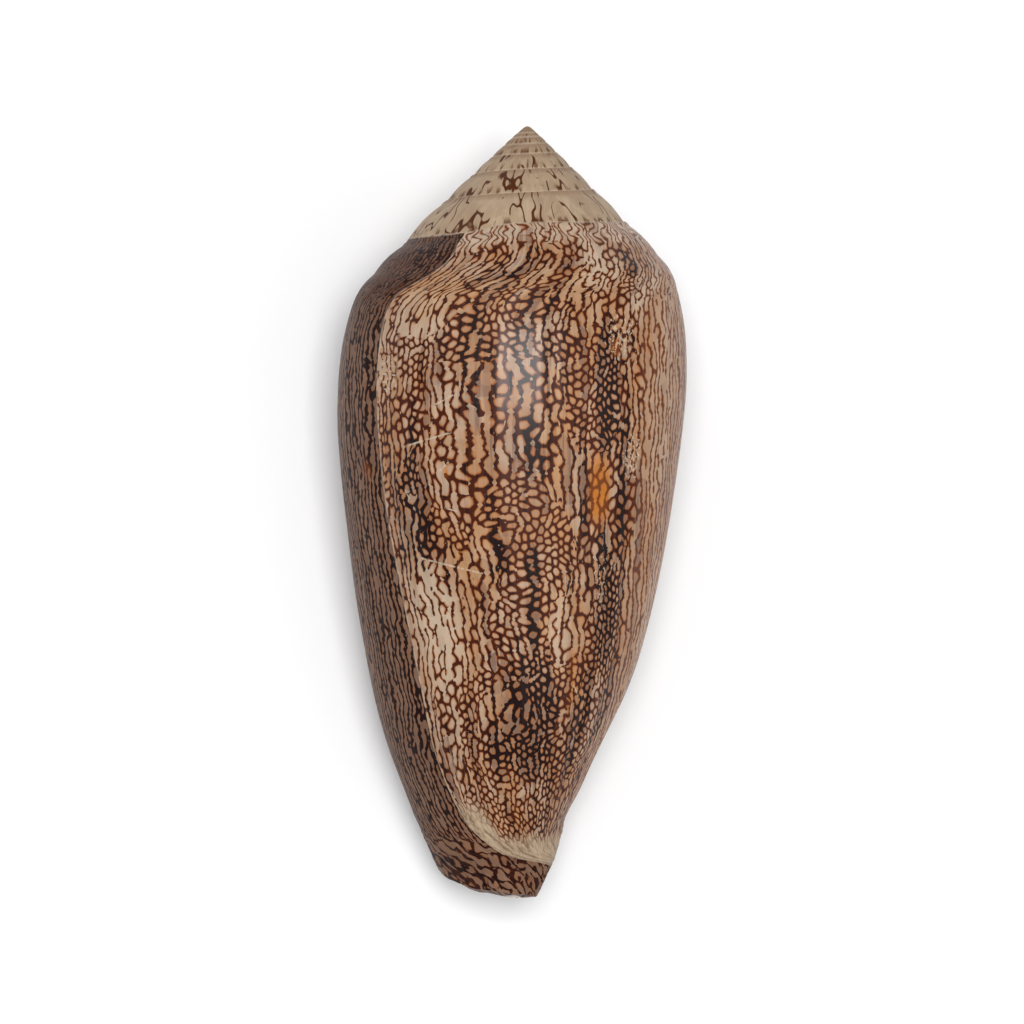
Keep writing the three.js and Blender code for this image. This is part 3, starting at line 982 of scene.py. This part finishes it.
# Pale thread along each suture, scars, worn grains and scratches
def wearOf(finish, at):
    broken = finish.clouds(finish.vector(at.across, 0), 1, 2)
    thread = finish.fade(at.below, 0.3, 0.1) * finish.fade(broken, 0.25, 0.45)
    thread = finish.larger(thread * 0.8, finish.fade(at.above, 0.2, 0.05) * 0.5)
    scars = scarsOf(finish, at)
    pebbled = finish.fade(noiseOn(finish, "pebbled", at.across, at.below), 0.25, 0.5)
    grains = noiseOn(finish, "grains", at.line, at.height)
    worn = finish.fade(grains + spotsOn(finish, at.place, netted["wornSpots"]) * 0.22, 0.73, 0.78)
    scratched = scratchesOn(finish, at.line, at.height, netted["scratches"])
    scratched = scratched * finish.fade(grains, 0.38, 0.5)
    wornEdge = finish.larger(finish.larger(thread * 0.75, scars * 0.42 * pebbled), worn * 0.75)
    return finish.larger(wornEdge, scratched * 0.8)


def nettedSurface(material):
    finish = Finish(material)
    at = zonesOf(finish)
    addStreaks(finish, at)
    addNet(finish, at)
    painted = patternOf(finish, at)
    wear = wearOf(finish, at)

    # A brown smudge under each suture of the spire
    smudge = noiseOn(finish, "smudge", at.across, at.below, at.turns)
    underSuture = finish.fade(at.above, 1.2, 0.2) * at.early * finish.fade(smudge, 0.52, 0.6) * 0.8
    painted = finish.blend(underSuture, painted, netted["spireMark"])
    painted = finish.blend(wear, painted, netted["chalk"])

    # Cells and growth lines differ a little in tone
    growthLines = noiseOn(finish, "growthLines", at.line, at.height)
    shade = 0.83 + growthLines * 0.26 + (finish.chance(at.site) - 0.5) * 0.14
    painted = finish.node("ShaderNodeHueSaturation", None, {"Value": shade, "Color": painted})

    striae = noiseOn(finish, "striae", at.line, at.height)
    lowRelief = growthLines * 0.5 + striae * 0.35
    raised = {"Strength": netted["relief"], "Distance": netted["reliefHeight"], "Height": lowRelief}
    finish.put(finish.shader, "Base Color", painted)
    roughness = netted["roughness"] + growthLines * 0.16 + wear * 0.25 + at.early * 0.15
    finish.put(finish.shader, "Roughness", roughness)
    finish.put(finish.shader, "Normal", finish.node("ShaderNodeBump", None, raised))
    finish.put(finish.shader, "Specular IOR Level", netted["specular"])
    coat = (netted["coat"] - wear * 0.2 - at.early * 0.2) * (1 - at.newest * 0.8)
    finish.put(finish.shader, "Coat Weight", coat)
    finish.put(finish.shader, "Coat Roughness", netted["coatRoughness"])


porcelain = {
    "white": colour(236, 230, 222),
    "blush": colour(214, 192, 176),
    "cloudScale": 120,
    "roughness": 0.24, "unevenness": 0.1,
    "coat": 0.3, "coatRoughness": 0.12,
}


def porcelainSurface(material):
    finish = Finish(material)
    place = finish.node("ShaderNodeTexCoord").other("Object")
    clouds = finish.clouds(place, porcelain["cloudScale"], 3, 0.5, "3D")
    painted = finish.blend(finish.fade(clouds, 0.4, 0.7), porcelain["white"], porcelain["blush"])
    finish.put(finish.shader, "Base Color", painted)
    finish.put(finish.shader, "Roughness", porcelain["roughness"] + clouds * porcelain["unevenness"])
    finish.put(finish.shader, "Coat Weight", porcelain["coat"])
    finish.put(finish.shader, "Coat Roughness", porcelain["coatRoughness"])


nettedSurface(outsideFinish)
porcelainSurface(insideFinish)
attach(shell, "root")
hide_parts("shell")
print("finishes done")

studio = {
    "floorSize": 4,
    "floorColour": (0.95, 0.95, 0.95, 1), "floorRoughness": 0.7,
    "world": (0.93, 0.95, 1.0, 1), "worldStrength": 0.22,
    # name, place over the shell in metres, size, watts
    "lamps": [
        ("key", (-0.05, 0, 0.8), 0.32, 4.9),
        ("left", (-0.5, 0.35, 0.65), 0.9, 1.3),
        ("right", (0.5, -0.3, 0.65), 0.9, 1.6),
    ],
}


def makeStage():
    bpy.ops.mesh.primitive_plane_add(size=studio["floorSize"], location=(0, 0, 0))
    floor = bpy.context.object
    floor.name = "floor"
    finish = Finish(bpy.data.materials.new("paleFloor"))
    floor.data.materials.append(bpy.data.materials["paleFloor"])
    finish.put(finish.shader, "Base Color", studio["floorColour"])
    finish.put(finish.shader, "Roughness", studio["floorRoughness"])
    for name, place, size, watts in studio["lamps"]:
        bpy.ops.object.light_add(type="AREA", location=place)
        lamp = bpy.context.object
        lamp.name = name
        lamp.data.size = size
        lamp.data.energy = watts
        lamp.rotation_euler = Vector(place).to_track_quat("Z", "Y").to_euler()
    world = bpy.data.worlds.new("studio")
    bpy.context.scene.world = world
    world.use_nodes = True
    background = world.node_tree.nodes["Background"]
    background.inputs["Color"].default_value = studio["world"]
    background.inputs["Strength"].default_value = studio["worldStrength"]
    bpy.context.scene.view_settings.view_transform = "Standard"


photograph = {
    "aim": (-1.04, -40, 0),         # millimetres in the shell's own frame
    "tilt": 1.5,                    # the apex comes this many degrees towards the camera
    "spin": 0.8,
    "distance": 500,
    "fieldWidth": 106.27,           # millimetres seen across the picture at the aim
    "sensor": 36,
}


def makeCamera():
    tilt, spin = math.radians(photograph["tilt"]), math.radians(photograph["spin"])
    back = Vector((0, math.sin(tilt), math.cos(tilt)))
    up = Vector((0, math.cos(tilt), -math.sin(tilt)))
    right = up.cross(back)
    leaningRight = right * math.cos(spin) + up * math.sin(spin)
    leaningUp = up * math.cos(spin) - right * math.sin(spin)
    place = laid @ (Vector(photograph["aim"]) + back * photograph["distance"])
    bpy.ops.object.camera_add(location=place)
    camera = bpy.context.object
    columns = [layingTurn @ axis for axis in (leaningRight, leaningUp, back)]
    camera.rotation_euler = Matrix(columns).transposed().to_euler()
    camera.data.sensor_width = photograph["sensor"]
    camera.data.lens = photograph["sensor"] * photograph["distance"] / photograph["fieldWidth"]
    bpy.context.scene.camera = camera


makeStage()
makeCamera()
print("stage and camera done")
